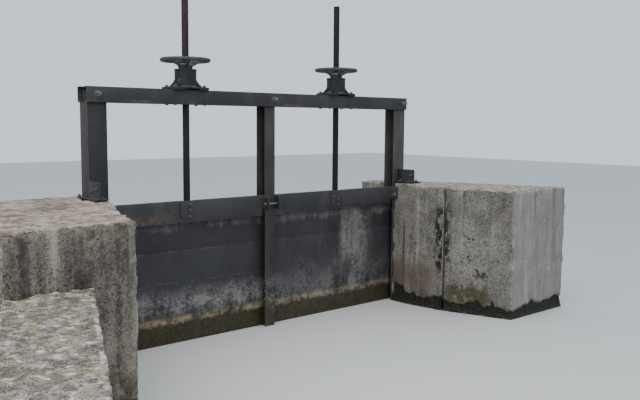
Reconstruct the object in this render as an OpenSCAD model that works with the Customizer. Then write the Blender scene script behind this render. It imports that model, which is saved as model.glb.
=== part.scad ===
// Twin-leaf sluice gate on concrete abutments.
// X runs along the gate line, Y upstream and Z up from the water line, in millimetres.

/* [Gate frame] */
// Width of the steel frame over the outer faces of the end posts
frame_w = 3500; // [3000:10:4200]
// Depth of the posts along the flow
post_d = 134; // [110:1:180]
// Width of an end post across the flow
post_w = 158; // [120:1:200]
// Width of the middle post across the flow
mid_post_w = 110; // [90:1:140]
// How far the middle post stands left of mid-span
mid_post_shift = 26; // [0:1:60]
// Thickness of the posts' flanges
flange_t = 12; // [8:1:16]
// Thickness of the posts' webs
web_t = 8; // [6:1:12]

/* [Top beam] */
// Height of the beam's underside over the water line
beam_z = 2025; // [1900:5:2300]
// Height of the beam's channels
beam_h = 120; // [100:5:160]
// Depth of the whole beam along the flow
beam_d = 172; // [160:1:220]
// Width of the channels' flanges
beam_flange_w = 45; // [35:1:52]
// Thickness of the channels' webs and flanges
beam_t = 7; // [5:1:9]
// How far the beam reaches past each end post
beam_over = 8; // [0:1:40]
// How far the joint of the front channel lies left of mid-span
seam_shift = 60; // [40:1:70]
// Width of the cleats inside the beam
cleat_w = 90; // [60:1:100]
// Thickness of the cleats
cleat_t = 10; // [6:1:12]

/* [Cross beam] */
// How far the leaves' tops stand over the cross beam's underside
leaf_lap = 115; // [100:5:150]
// Height of the cross beam
cross_h = 185; // [170:5:200]
// Thickness of its plate
cross_t = 6; // [5:1:8]
// Width of its top and bottom lips
lip_w = 34; // [24:1:40]
// How far its end plates stand in front of the posts
end_plate_reach = 70; // [50:1:90]
// Height of the end plates
end_plate_h = 128; // [110:1:160]
// Thickness of the end plates
end_plate_t = 10; // [8:1:12]
// Diameter of the tie bolt in front of the middle post
tie_d = 20; // [16:1:24]
// Width of the stem guide plates on the cross beam
guide_w = 108; // [96:1:130]
// Height of the stem guide plates
guide_h = 158; // [140:1:165]
// Thickness of the stem guide plates
guide_t = 8; // [6:1:12]
// How far the stem guide plates stand left of the spindles
guide_shift = 35; // [0:1:40]

/* [Leaves] */
// Height of a leaf
leaf_h = 1150; // [1140:5:1160]
// Height of the seam between the lower and the upper plate
leaf_seam_z = 790; // [700:5:900]
// Thickness of the leaf plates
leaf_t = 8; // [6:1:10]
// How far a leaf reaches into the groove of an end post
leaf_grip = 90; // [60:1:105]
// How far a leaf reaches into the groove of the middle post
leaf_mid_grip = 35; // [30:1:38]
// Depth of the stiffeners on the upstream side
stiffener_d = 39; // [30:1:39]
// Thickness of the stiffeners
stiffener_t = 8; // [6:1:10]
// Width of the lifting lug
lug_w = 100; // [90:1:110]

/* [Screw lift] */
// Distance of each spindle from the middle between the two
spindle_x = 844; // [750:1:900]
// Diameter of the spindles
spindle_d = 60; // [48:1:60]
// Length of a spindle above the top beam
spindle_rise = 860; // [600:10:1000]
// Running clearance round the spindle, on the radius
bore_gap = 0.5; // [0.3:0.1:0.9]
// Outer diameter of the handwheel
wheel_d = 420; // [360:5:460]
// Diameter of the rim's bar
rim_d = 34; // [24:1:36]
// Height of the rim's centre over the hub's foot
wheel_dish = 74; // [60:1:90]
// Diameter of the hub's foot
hub_d = 116; // [110:1:124]
// Number of spokes
spoke_n = 5; // [3:1:6]
// Diameter of the pedestal's collar
collar_d = 188; // [176:1:200]
// Height of the pedestal from the beam to the collar's top
pedestal_h = 173; // [150:1:200]
// Length of the pedestal's base along the beam
base_l = 350; // [340:5:380]
// Width of the pedestal's base across the beam
base_w = 236; // [220:2:260]
// Thickness of the pedestal's base
base_t = 24; // [18:1:30]
// Thickness of the pedestal's ribs
rib_t = 14; // [10:1:18]

/* [Foot brackets] */
// Height of the upright rib over the base plate
foot_rib_h = 125; // [100:5:150]
// Thickness of the upright rib
foot_rib_t = 14; // [10:1:18]
// Thickness of the base plate
foot_t = 12; // [8:1:16]
// How far the brackets reach in front of the posts
foot_reach = 185; // [150:5:220]
// How far the right bracket reaches in front of its post
right_foot_reach = 228; // [150:1:260]
// Thickness of the mortar bed under the brackets
bed_t = 12; // [8:1:20]

/* [Concrete] */
// Height of the left abutment over the water line
left_top_z = 1275; // [1240:5:1320]
// Height of the right abutment over the water line
right_top_z = 1255; // [1230:5:1320]
// Height of the low wing wall over the water line
wing_top_z = 910; // [700:10:1100]
// Distance from the gate line to the abutments' upstream ends
upstream_l = 433; // [300:5:600]
// Distance from the gate line to the downstream corner of the left abutment
left_corner_l = 1267; // [1100:5:1400]
// Distance from the gate line to the downstream corner of the right abutment
right_corner_l = 1377; // [1200:5:1500]
// Width of the left abutment at its upstream end
left_abut_w = 1238; // [900:5:1400]
// Width of the right abutment at its upstream end
right_abut_w = 498; // [400:5:700]
// Distance from the gate line to the joint in the right abutment
joint_l = 707; // [600:5:800]
// Distance from the gate line to the low wing wall's far end
wing_end_l = 3150; // [2400:10:3600]
// How far the wing wall turns outward, in degrees
wing_turn = 22; // [10:1:35]
// Distance from the gate line to the bend in the left abutment
left_bend_l = 747; // [600:1:900]
// How far the left bend stands back from the groove
left_bend_out = 248; // [150:1:320]
// How far the left abutment's corner stands back from the groove
left_corner_out = 371; // [340:1:450]
// How far the left abutment's front face slants over its width
front_slant = 100; // [0:5:150]
// Distance from the gate line to the bend in the right abutment
right_bend_l = 267; // [240:1:400]
// How far the joint in the right abutment stands back from the groove
joint_out = 65; // [30:1:120]
// How far the right abutment's corner stands back from the groove
right_corner_out = 305; // [200:1:400]
// Width from the right groove to the wing wall's outer corner
right_end_out = 1200; // [900:1:1300]
// Distance upstream at which the right abutment's outer face starts to flare
right_back_l = 113; // [80:1:200]

/* [Hidden] */

$fn = 64;

steel = "#3b3a3f";
iron = "#46494d";
rust = "#5a4a44";
concrete = "#9a968e";

// Small clearances between pieces
slide_gap = 6;
seat_gap = 0.3;

// Frame
half_w = frame_w / 2;
groove_x = half_w - post_w;
post_front = -post_d / 2;
mid_x = -mid_post_shift;
mid_left = mid_x - mid_post_w / 2;
mid_right = mid_x + mid_post_w / 2;
beam_top = beam_z + beam_h;
beam_end = half_w + beam_over;
seam_offset = seam_shift + mid_x;
left_stem_x = -spindle_x + mid_x / 2;
right_stem_x = spindle_x + mid_x / 2;
seam_gap = 1;

// Leaves: the plate lies just upstream of the spindle's axis
leaf_y = 2;
leaf_back = leaf_y + leaf_t;
seat_t = 8;
seat_y = leaf_y - slide_gap - seat_t;
seat_grip = 18;
stiffener_n = 3;
stiffener_ends = 20;
stiffener_leg = 50;
lug_floor = 30;
cross_z = leaf_h - leaf_lap;
lug_h = leaf_lap - slide_gap;
left_leaf_x0 = -groove_x - leaf_grip;
left_leaf_x1 = mid_left + leaf_mid_grip;
right_leaf_x0 = mid_right - leaf_mid_grip;
right_leaf_x1 = groove_x + leaf_grip;

// Cross beam: its plate passes in front of the spindles
cross_back = -spindle_d / 2 - slide_gap;
cross_y = cross_back - cross_t;
cross_top = cross_z + cross_h;
tie_reach_share = 0.36;
tie_drop_share = 0.59;
tie_y = post_front - end_plate_reach * tie_reach_share;
tie_z = cross_top - end_plate_h * tie_drop_share;

// Foot brackets: the strip beside the post ends behind it
foot_back = 40;
bed_margin = 20;
left_foot_w = 100;
left_foot_over = 25;
right_foot_w = 158;
right_foot_over = 20;
right_rib_inset = 91;
left_foot_x0 = -half_w - left_foot_over;
left_foot_x1 = left_foot_x0 + left_foot_w;
right_foot_x1 = half_w + right_foot_over;
right_foot_x0 = right_foot_x1 - right_foot_w;
right_rib_x = half_w - right_rib_inset;

// Screw lift
bolt_inset = 35;
bolt_edge = 20;
bolt_room = 18;
wheel_z = beam_top + pedestal_h + seat_gap;
bore_r = spindle_d / 2 + bore_gap;
bolt_x = base_l / 2 - bolt_inset;
bolt_y = beam_d / 2 - bolt_edge + beam_t / 2;
rib_turn = atan2(bolt_y, bolt_x);
pad_h = 8;
relief_w = 150;
base_corner_r = 40;
collar_h = 14;
collar_step = 3;
fillet = 7;
arris = 3;
rib_top_drop = 42;
rib_foot_h = 6;
hub_h = 48;
hub_foot_h = 10;
hub_flare = 6;
boss_t = 13;
spoke_wide = 26;
spoke_low_z = 10;
spoke_top_z = 42;
spoke_end_half = 10;
spoke_steps = 8;
tip = 3;

// Plan of the concrete, in gate coordinates
straight_l = right_bend_l / 2;
joint_share = 0.43;
wing_share = 0.35;
left_bend = [-groove_x - left_bend_out, -left_bend_l];
left_corner = [-groove_x - left_corner_out, -left_corner_l];
left_outer = [-groove_x - left_abut_w, -left_corner_l - front_slant];
right_bend = [groove_x, -right_bend_l];
right_joint = [groove_x + joint_out, -joint_l];
right_corner = [groove_x + right_corner_out, -right_corner_l];
right_end = [groove_x + right_end_out, -right_corner_l];
right_back = [groove_x + right_abut_w, right_back_l];
right_back_joint = right_back + (right_end - right_back) * joint_share;
wing_start = left_corner + (left_outer - left_corner) * wing_share;
wing_end = wing_point(wing_start);
wing_outer_end = wing_point(left_outer);

function wing_point(p) = [p.x - (wing_end_l + p.y) * tan(wing_turn), -wing_end_l];

// The footprint's middle is the model's origin
footprint_mid = [(wing_outer_end.x + right_end.x) / 2, (upstream_l - wing_end_l) / 2];

module place() {
    translate([-footprint_mid.x, -footprint_mid.y, 0])
        children();
}

module block(low, high) {
    translate(low)
        cube(high - low);
}

// Notch in which an end post stands, for the post on the given side
module post_recess(side) {
    outer = side * half_w;
    inner = side * (groove_x - bed_margin);
    top = max(left_top_z, right_top_z) + bed_t + 1;
    block([min(outer, inner), post_front, -1], [max(outer, inner), -post_front, top]);
}

module left_abutment() {
    color(concrete)
        difference() {
            union() {
                linear_extrude(left_top_z)
                    polygon([
                        [-groove_x, upstream_l],
                        [-groove_x, -straight_l],
                        left_bend,
                        left_corner,
                        left_outer,
                        [left_outer.x, upstream_l]
                    ]);
                foot_bed(left_foot_x0, left_foot_x1, foot_reach, left_top_z);
            }
            post_recess(-1);
        }
}

module right_abutment() {
    color(concrete)
        difference() {
            union() {
                linear_extrude(right_top_z)
                    polygon([
                        [groove_x, upstream_l],
                        right_bend,
                        right_joint,
                        right_back_joint,
                        right_back,
                        [right_back.x, upstream_l]
                    ]);
                foot_bed(right_foot_x0, right_foot_x1, right_foot_reach, right_top_z);
            }
            post_recess(1);
        }
}

module right_wing_wall() {
    color(concrete)
        linear_extrude(right_top_z)
            polygon([right_joint, right_corner, right_end, right_back_joint]);
}

module left_wing_wall() {
    color(concrete)
        linear_extrude(wing_top_z)
            polygon([wing_start, wing_end, wing_outer_end, left_outer]);
}

// Mortar bed under a foot bracket, spreading past its base plate
module foot_bed(x0, x1, reach, top) {
    block(
        [x0 - bed_margin, post_front - reach - bed_margin, top - 1],
        [x1 + bed_margin, -post_front + foot_back + bed_margin, top + bed_t]
    );
}

// End post: a web on the outer side, two flanges and the strip that the leaf bears on
module end_post(side) {
    mirror([side < 0 ? 1 : 0, 0, 0]) {
        block([half_w - web_t, post_front, 0], [half_w, -post_front, beam_z]);
        for (y = [post_front, -post_front - flange_t])
            block([groove_x, y, 0], [half_w - web_t, y + flange_t, beam_z]);
        block([groove_x + leaf_grip - seat_grip, seat_y, 0], [half_w - web_t, seat_y + seat_t, cross_z]);
    }
}

module left_post() {
    color(rust)
        end_post(-1);
}

module right_post() {
    color(steel)
        end_post(1);
}

// Middle post: an I-section with a seat strip in either groove
module middle_post() {
    color(steel) {
        block([mid_x - web_t / 2, post_front, 0], [mid_x + web_t / 2, -post_front, beam_z]);
        for (y = [post_front, -post_front - flange_t])
            block([mid_left, y, 0], [mid_right, y + flange_t, beam_z]);
        seat_reach = mid_post_w / 2 - leaf_mid_grip + seat_grip;
        block([mid_x - seat_reach, seat_y, 0], [mid_x + seat_reach, seat_y + seat_t, cross_z]);
    }
}

// Channel with its web outward, from x0 to x1, on the downstream or the upstream side
module beam_channel(x0, x1, side) {
    mirror([0, side > 0 ? 1 : 0, 0])
        translate([x0, 0, beam_z])
            rotate([90, 0, 90])
                linear_extrude(x1 - x0)
                    difference() {
                        translate([-beam_d / 2, 0])
                            square([beam_flange_w, beam_h]);
                        translate([-beam_d / 2 + beam_t, beam_t])
                            square([beam_flange_w, beam_h - 2 * beam_t]);
                    }
}

module front_beam_left() {
    color(steel)
        beam_channel(-beam_end, mid_x - seam_offset - seam_gap, -1);
}

module front_beam_right() {
    color(steel)
        beam_channel(mid_x - seam_offset + seam_gap, beam_end, -1);
}

module rear_beam() {
    color(steel)
        beam_channel(-beam_end, beam_end, 1);
}

// Cleat standing on the lower flanges between the two channels
module beam_cleat(x) {
    wide = beam_d - 2 * beam_t;
    translate([x - cleat_w / 2, 0, beam_z + beam_t])
        rotate([90, 0, 90])
            linear_extrude(cleat_w)
                difference() {
                    translate([-wide / 2, 0])
                        square([wide, beam_h - 2 * beam_t]);
                    translate([-wide / 2 + cleat_t, cleat_t])
                        square([wide - 2 * cleat_t, beam_h]);
                }
}

module beam_cleats() {
    color(iron)
        for (x = [-half_w + post_w / 2, mid_x, half_w - post_w / 2])
            beam_cleat(x);
}

// One length of the cross beam between two faces, with lips notched round the lifting lug
module cross_beam(x0, x1, stem_x) {
    notch = lug_w / 2 + slide_gap;
    difference() {
        translate([x0, 0, cross_z])
            rotate([90, 0, 90])
                linear_extrude(x1 - x0) {
                    translate([cross_y, 0])
                        square([cross_t, cross_h]);
                    for (z = [0, cross_h - cross_t])
                        translate([cross_y, z])
                            square([lip_w, cross_t]);
                }
        block([stem_x - notch, cross_back, cross_z - 1], [stem_x + notch, leaf_y, cross_top + 1]);
    }
    for (x = [x0, x1 - end_plate_t])
        block([x, post_front - end_plate_reach, cross_top - end_plate_h], [x + end_plate_t, cross_y, cross_top]);
}

module cross_beam_left() {
    color(steel)
        difference() {
            cross_beam(-groove_x + seat_gap, mid_left - seat_gap, left_stem_x);
            tie_hole();
        }
}

module cross_beam_right() {
    color(steel)
        difference() {
            cross_beam(mid_right + seat_gap, groove_x - seat_gap, right_stem_x);
            tie_hole();
        }
}

module tie_hole() {
    translate([mid_left - 2 * end_plate_t, tie_y, tie_z])
        rotate([0, 90, 0])
            cylinder(d = tie_d, h = mid_post_w + 4 * end_plate_t);
}

// Bolt in front of the middle post, with a hexagon head and nut outside the two plates
module cross_beam_tie() {
    nut_w = tie_d * 1.6;
    nut_h = tie_d * 0.65;
    end_l = tie_d * 0.6;
    plate_out = end_plate_t + seat_gap;
    color(iron)
        translate([0, tie_y, tie_z])
            rotate([0, 90, 0]) {
                translate([0, 0, mid_left - plate_out - nut_h])
                    cylinder(d = tie_d, h = mid_post_w + 2 * (plate_out + nut_h) + end_l);
                for (x = [mid_left - plate_out - nut_h, mid_right + plate_out])
                    translate([0, 0, x])
                        cylinder(d = nut_w, h = nut_h, $fn = 6);
            }
}

// Plate with a round lower end, bolted over the cross beam beside the spindle at x
module stem_guide(x) {
    r = guide_w / 2;
    translate([x - guide_shift, cross_y, cross_top - guide_h])
        rotate([90, 0, 0])
            linear_extrude(guide_t) {
                translate([0, r])
                    circle(r);
                translate([-r, r])
                    square([guide_w, guide_h - r]);
            }
}

module left_stem_guide() {
    color(iron)
        stem_guide(left_stem_x);
}

module right_stem_guide() {
    color(iron)
        stem_guide(right_stem_x);
}

// Bracket at a post's foot: a base plate on the mortar, a strip beside the post and an upright rib
module foot_bracket(x0, x1, strip_x0, strip_x1, rib_x, reach, top) {
    z = top + bed_t;
    front = post_front - reach;
    block([x0, front, z], [x1, post_front, z + foot_t]);
    block([strip_x0, post_front, z], [strip_x1, -post_front + foot_back, z + foot_t]);
    block([rib_x, front, z + foot_t], [rib_x + foot_rib_t, post_front, z + foot_t + foot_rib_h]);
}

module left_foot_bracket() {
    color(rust)
        foot_bracket(left_foot_x0, left_foot_x1, left_foot_x0, -half_w, -half_w, foot_reach, left_top_z);
}

module right_foot_bracket() {
    color(rust)
        foot_bracket(
            right_foot_x0, right_foot_x1, half_w, right_foot_x1, right_rib_x, right_foot_reach, right_top_z
        );
}

// Outline of a rib from inside the barrel down to the base, hollowed by an arc
module rib_outline() {
    top_z = pedestal_h - rib_top_drop;
    low_z = base_t + rib_foot_h;
    foot_x = norm([bolt_x, bolt_y]) - bolt_room;
    top_x = collar_d / 2 - collar_step - fillet;
    run = foot_x - top_x;
    rise = top_z - low_z;
    arc_r = (rise * rise + run * run) / (2 * run);
    difference() {
        translate([collar_d / 4, base_t - 1])
            square([foot_x - collar_d / 4, top_z - base_t + 1]);
        translate([top_x + arc_r, top_z])
            circle(arc_r);
    }
}

// Cast pedestal: base on two pads, barrel, collar and four ribs toward the base's bolts
module pedestal() {
    collar_r = collar_d / 2;
    barrel_r = collar_r - collar_step;
    difference() {
        union() {
            linear_extrude(base_t)
                base_outline();
            rotate_extrude()
                polygon([
                    [0, 1],
                    [barrel_r + fillet, 1],
                    [barrel_r + fillet, base_t + arris],
                    [barrel_r, base_t + fillet],
                    [barrel_r, pedestal_h - collar_h - collar_step],
                    [collar_r, pedestal_h - collar_h],
                    [collar_r, pedestal_h - arris],
                    [collar_r - arris, pedestal_h],
                    [0, pedestal_h]
                ]);
            for (turn = [rib_turn, 180 - rib_turn, 180 + rib_turn, -rib_turn])
                rotate([90, 0, turn])
                    translate([0, 0, -rib_t / 2])
                        linear_extrude(rib_t)
                            rib_outline();
        }
        translate([0, 0, -1])
            cylinder(r = bore_r, h = pedestal_h + 2);
        block([-relief_w / 2, -base_w, -1], [relief_w / 2, base_w, pad_h]);
    }
}

// Rounded base plate
module base_outline() {
    r = base_corner_r;
    for (x = [-1, 1], y = [-1, 1])
        translate([x * (base_l / 2 - r), y * (base_w / 2 - r)])
            circle(r);
    square([base_l - 2 * r, base_w], center = true);
    square([base_l, base_w - 2 * r], center = true);
}

module left_pedestal() {
    color(iron)
        translate([left_stem_x, 0, beam_top])
            pedestal();
}

module right_pedestal() {
    color(iron)
        translate([right_stem_x, 0, beam_top])
            pedestal();
}

// Handwheel: flared hub on the collar, deep curved spokes rising to the rim
module handwheel() {
    rim_r = (wheel_d - rim_d) / 2;
    hub_r = hub_d / 2;
    difference() {
        union() {
            rotate_extrude()
                polygon([
                    [0, 0],
                    [hub_r, 0],
                    [hub_r, hub_foot_h],
                    [hub_r + hub_flare, hub_h / 2],
                    [hub_r + hub_flare, hub_h / 2 + hub_foot_h],
                    [bore_r + boss_t, hub_h],
                    [0, hub_h]
                ]);
            for (i = [0 : spoke_n - 1])
                rotate([0, 0, (i + 0.5) * 360 / spoke_n])
                    spoke(hub_r - boss_t, rim_r);
            translate([0, 0, wheel_dish])
                rotate_extrude()
                    translate([rim_r, 0])
                        circle(d = rim_d, $fn = 32);
        }
        translate([0, 0, -1])
            cylinder(r = bore_r, h = hub_h + 2);
    }
}

// One dished spoke from r0 in the hub to r1 in the rim, deepest at the hub
module spoke(r0, r1) {
    upper = [for (i = [0 : spoke_steps])
        spoke_point(i / spoke_steps, r0, r1, spoke_top_z, wheel_dish + spoke_end_half)];
    lower = [for (i = [spoke_steps : -1 : 0])
        spoke_point(i / spoke_steps, r0, r1, spoke_low_z, wheel_dish - spoke_end_half)];
    rotate([90, 0, 0])
        translate([0, 0, -spoke_wide / 2])
            linear_extrude(spoke_wide)
                polygon(concat(upper, lower));
}

function spoke_point(t, r0, r1, z0, z1) = [r0 + (r1 - r0) * t, z0 + (z1 - z0) * (1 - pow(1 - t, 2))];

module left_handwheel() {
    color(iron)
        translate([left_stem_x, 0, wheel_z])
            handwheel();
}

module right_handwheel() {
    color(iron)
        translate([right_stem_x, 0, wheel_z])
            handwheel();
}

// Spindle from the lifting lug up past the handwheel
module spindle(x) {
    foot_z = leaf_h - lug_h + lug_floor;
    top_z = beam_top + spindle_rise;
    translate([x, 0, foot_z])
        cylinder(d = spindle_d, h = top_z - tip - foot_z);
    translate([x, 0, top_z - tip])
        cylinder(d1 = spindle_d, d2 = spindle_d - 2 * tip, h = tip);
}

module left_spindle() {
    color(rust)
        spindle(left_stem_x);
}

module right_spindle() {
    color(steel)
        spindle(right_stem_x);
}

// Sheets of a leaf between its two edges
module leaf_plate(x0, x1, z0, z1) {
    block([x0, leaf_y, z0], [x1, leaf_back, z1]);
}

module left_lower_plate() {
    color(steel)
        leaf_plate(left_leaf_x0, left_leaf_x1, 0, leaf_seam_z);
}

module left_upper_plate() {
    color(steel)
        difference() {
            leaf_plate(left_leaf_x0, left_leaf_x1, leaf_seam_z, leaf_h);
            lug_slot(left_stem_x);
        }
}

module right_lower_plate() {
    color(steel)
        leaf_plate(right_leaf_x0, right_leaf_x1, 0, leaf_seam_z);
}

module right_upper_plate() {
    color(steel)
        difference() {
            leaf_plate(right_leaf_x0, right_leaf_x1, leaf_seam_z, leaf_h);
            lug_slot(right_stem_x);
        }
}

// Room in the upper plate for the lug
module lug_slot(x) {
    block([x - lug_w / 2, leaf_y - 1, leaf_h - lug_h], [x + lug_w / 2, leaf_back + 1, leaf_h + 1]);
}

// Level angles across the back of a leaf, joined by two uprights
module stiffeners(x0, x1) {
    y1 = leaf_back + stiffener_d;
    top_z = leaf_h - lug_h - 2 * stiffener_leg;
    step = (top_z - stiffener_leg) / (stiffener_n - 1);
    for (i = [0 : stiffener_n - 1]) {
        z = stiffener_leg + i * step;
        block(
            [x0 + stiffener_ends, leaf_back, z],
            [x1 - stiffener_ends, leaf_back + stiffener_t, z + stiffener_leg]
        );
        block([x0 + stiffener_ends, leaf_back, z], [x1 - stiffener_ends, y1, z + stiffener_t]);
    }
    for (part = [1 / 3, 2 / 3]) {
        x = x0 + part * (x1 - x0);
        block(
            [x - stiffener_t / 2, leaf_back, stiffener_leg],
            [x + stiffener_t / 2, y1, top_z + stiffener_leg]
        );
    }
}

module left_stiffeners() {
    color(rust)
        stiffeners(left_leaf_x0, left_leaf_x1);
}

module right_stiffeners() {
    color(rust)
        stiffeners(right_leaf_x0, right_leaf_x1);
}

// Socket block let into the top of a leaf, in which the spindle's end sits
module lifting_lug(x) {
    r = spindle_d / 2;
    difference() {
        block([x - lug_w / 2, -r, leaf_h - lug_h], [x + lug_w / 2, r, leaf_h]);
        translate([x, 0, leaf_h - lug_h + lug_floor])
            cylinder(d = spindle_d, h = lug_h);
    }
}

module left_lifting_lug() {
    color(iron)
        lifting_lug(left_stem_x);
}

module right_lifting_lug() {
    color(iron)
        lifting_lug(right_stem_x);
}

place() left_abutment();
place() right_abutment();
place() left_wing_wall();
place() right_wing_wall();
place() left_post();
place() middle_post();
place() right_post();
place() front_beam_left();
place() front_beam_right();
place() rear_beam();
place() beam_cleats();
place() cross_beam_left();
place() cross_beam_right();
place() cross_beam_tie();
place() left_stem_guide();
place() right_stem_guide();
place() left_foot_bracket();
place() right_foot_bracket();
place() left_pedestal();
place() right_pedestal();
place() left_handwheel();
place() right_handwheel();
place() left_spindle();
place() right_spindle();
place() left_lower_plate();
place() left_upper_plate();
place() left_stiffeners();
place() left_lifting_lug();
place() right_lower_plate();
place() right_upper_plate();
place() right_stiffeners();
place() right_lifting_lug();
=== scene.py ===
"""Finished surfaces, fastenings and stage of a twin-leaf sluice gate, built over its solids.

The solids give every size and place. Metres throughout, X along the gate line, Y upstream, Z up.
"""
import math

import bpy
import numpy as np
from bpy.props import FloatProperty, FloatVectorProperty, IntProperty, PointerProperty
from mathutils import Matrix, Vector


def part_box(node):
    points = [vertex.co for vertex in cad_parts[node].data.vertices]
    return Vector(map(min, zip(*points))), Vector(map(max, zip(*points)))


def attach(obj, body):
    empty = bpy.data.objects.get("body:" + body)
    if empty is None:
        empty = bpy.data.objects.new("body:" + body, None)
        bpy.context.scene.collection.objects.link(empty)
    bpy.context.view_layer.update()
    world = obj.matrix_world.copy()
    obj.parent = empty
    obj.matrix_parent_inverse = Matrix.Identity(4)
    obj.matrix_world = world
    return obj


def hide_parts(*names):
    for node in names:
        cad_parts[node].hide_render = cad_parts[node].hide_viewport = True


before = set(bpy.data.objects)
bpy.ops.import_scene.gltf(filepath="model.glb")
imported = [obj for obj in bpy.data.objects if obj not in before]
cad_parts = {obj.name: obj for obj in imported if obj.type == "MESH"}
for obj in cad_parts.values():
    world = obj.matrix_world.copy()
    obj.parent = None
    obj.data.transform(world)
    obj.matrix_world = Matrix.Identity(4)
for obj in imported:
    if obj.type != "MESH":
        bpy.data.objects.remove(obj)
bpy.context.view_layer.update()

bl_info = {
    "name": "Sluice Gate Dressing",
    "version": (1, 0, 0),
    "blender": (4, 5, 0),
    "location": "View3D > Sidebar > Sluice Gate",
    "description": "Weathered concrete, painted steel, screw lifts and fastenings of a sluice gate",
    "category": "Object",
}

SIDES = ("left", "right")
UP, DOWN, FRONT, BACK = (0, 0, 1), (0, 0, -1), (0, -1, 0), (0, 1, 0)

POST_LOW, POST_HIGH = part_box("left_post")
GATE_X = (POST_LOW.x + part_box("right_post")[1].x) / 2
GATE_Y = (POST_LOW.y + POST_HIGH.y) / 2
BEAM_LOW, BEAM_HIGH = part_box("front_beam_right")
REAR_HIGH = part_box("rear_beam")[1]


def gate_point(x, y, z):
    """A point given from mid-span, the posts' mid-depth and the water line."""
    return Vector((GATE_X + x, GATE_Y + y, z))


# The left bank's front corner, how much its front slants, and the bolts through the beam
LEFT_CORNER = gate_point(-1.963, -1.267, 0.0)
FRONT_SLANT = 0.115
BOLT_XS = (-1.672, 0.004, 1.709)
BOLT_Z = 2.09


# Sizes and colours that a user would change


def length_setting(name, description, default, low, high):
    """A length with its default and its least and greatest value."""
    sizes = dict(default=default, min=low, max=high)
    return FloatProperty(name=name, description=description, unit="LENGTH", **sizes)


def colour_setting(name, description, default):
    return FloatVectorProperty(name=name, description=description, default=default, size=3, subtype="COLOR")


class ConcreteSettings(bpy.types.PropertyGroup):
    grain: length_setting("Grain", "Edge of the grid of the walls", 0.013, 0.008, 0.05)
    arris: length_setting("Worn Arris", "Width of the worn band along the edges", 0.035, 0.0, 0.1)
    chip: length_setting("Chip Depth", "Depth of the chips along the edges", 0.022, 0.0, 0.05)
    ledge: length_setting("Ledge Depth", "How far the water has cut the faces back", 0.022, 0.0, 0.05)
    colour: colour_setting("Cement", "Colour of the bare cement face", (0.232, 0.217, 0.197))
    dark: colour_setting("Stain", "Colour of the black growth on the faces", (0.055, 0.052, 0.046))
    moss: colour_setting("Moss", "Colour of the green growth near the water", (0.075, 0.07, 0.026))
    lichen: colour_setting("Lichen", "Colour of the yellow spots near the tops", (0.3, 0.25, 0.09))
    top: colour_setting("Top", "Colour of the dusty tops", (0.385, 0.335, 0.28))


class SteelSettings(bpy.types.PropertyGroup):
    edge: length_setting("Edge Round", "Radius of the rolled edges", 0.0015, 0.0005, 0.004)
    paint: colour_setting("Paint", "Colour of the bituminous paint", (0.03, 0.029, 0.031))
    brown: colour_setting("Browned Paint", "Colour of weathered paint on the posts", (0.066, 0.056, 0.054))
    rust: colour_setting("Rust", "Colour of the rust", (0.135, 0.096, 0.078))


class LiftSettings(bpy.types.PropertyGroup):
    pitch: length_setting("Thread Pitch", "Rise of the screw thread in one turn", 0.01, 0.006, 0.02)
    depth: length_setting("Thread Depth", "Depth of the screw thread", 0.0035, 0.001, 0.006)
    steps: IntProperty(name="Thread Steps", description="Steps in one turn", default=24, min=12, max=48)
    grain: length_setting("Casting Grain", "Edge of the grid of the castings", 0.0036, 0.002, 0.01)


# Shader expressions

# Places of a colour Mix node's sockets: the share, the two colours and the result
SHARE, BELOW, ABOVE, MIXED = 0, 6, 7, 2


def arithmetic(operation, swapped=False):
    """A method that adds a Math node; swapped is for a number that stands before the socket."""

    def method(self, other):
        first, second = (other, self) if swapped else (self, other)
        return self.math(operation, {0: first, 1: second})

    return method


class Link:
    """A socket in a material's nodes; arithmetic on it adds the Math nodes."""

    def __init__(self, shader, socket):
        self.shader, self.socket = shader, socket

    def math(self, operation, values):
        return self.shader.add("ShaderNodeMath", {"operation": operation}, values)

    __add__ = __radd__ = arithmetic("ADD")
    __mul__ = __rmul__ = arithmetic("MULTIPLY")
    __sub__ = arithmetic("SUBTRACT")
    __rsub__ = arithmetic("SUBTRACT", swapped=True)
    most = arithmetic("MAXIMUM")

    def size(self):
        return self.math("ABSOLUTE", {0: self})

    def sway(self, amount):
        """A pattern round 0.5 as a shift to either side, the wider the amount."""
        return (self - 0.5) * amount

    def ramp(self, low, high):
        """0 below low and 1 above high, smooth between; the other way round if low is above high."""
        values = {"Value": self, "From Min": low, "From Max": high}
        return self.shader.add("ShaderNodeMapRange", {"interpolation_type": "SMOOTHSTEP"}, values)


def tinted(colour, share):
    """The colour made darker or lighter by the share."""
    return tuple(part * share for part in colour)


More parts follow.
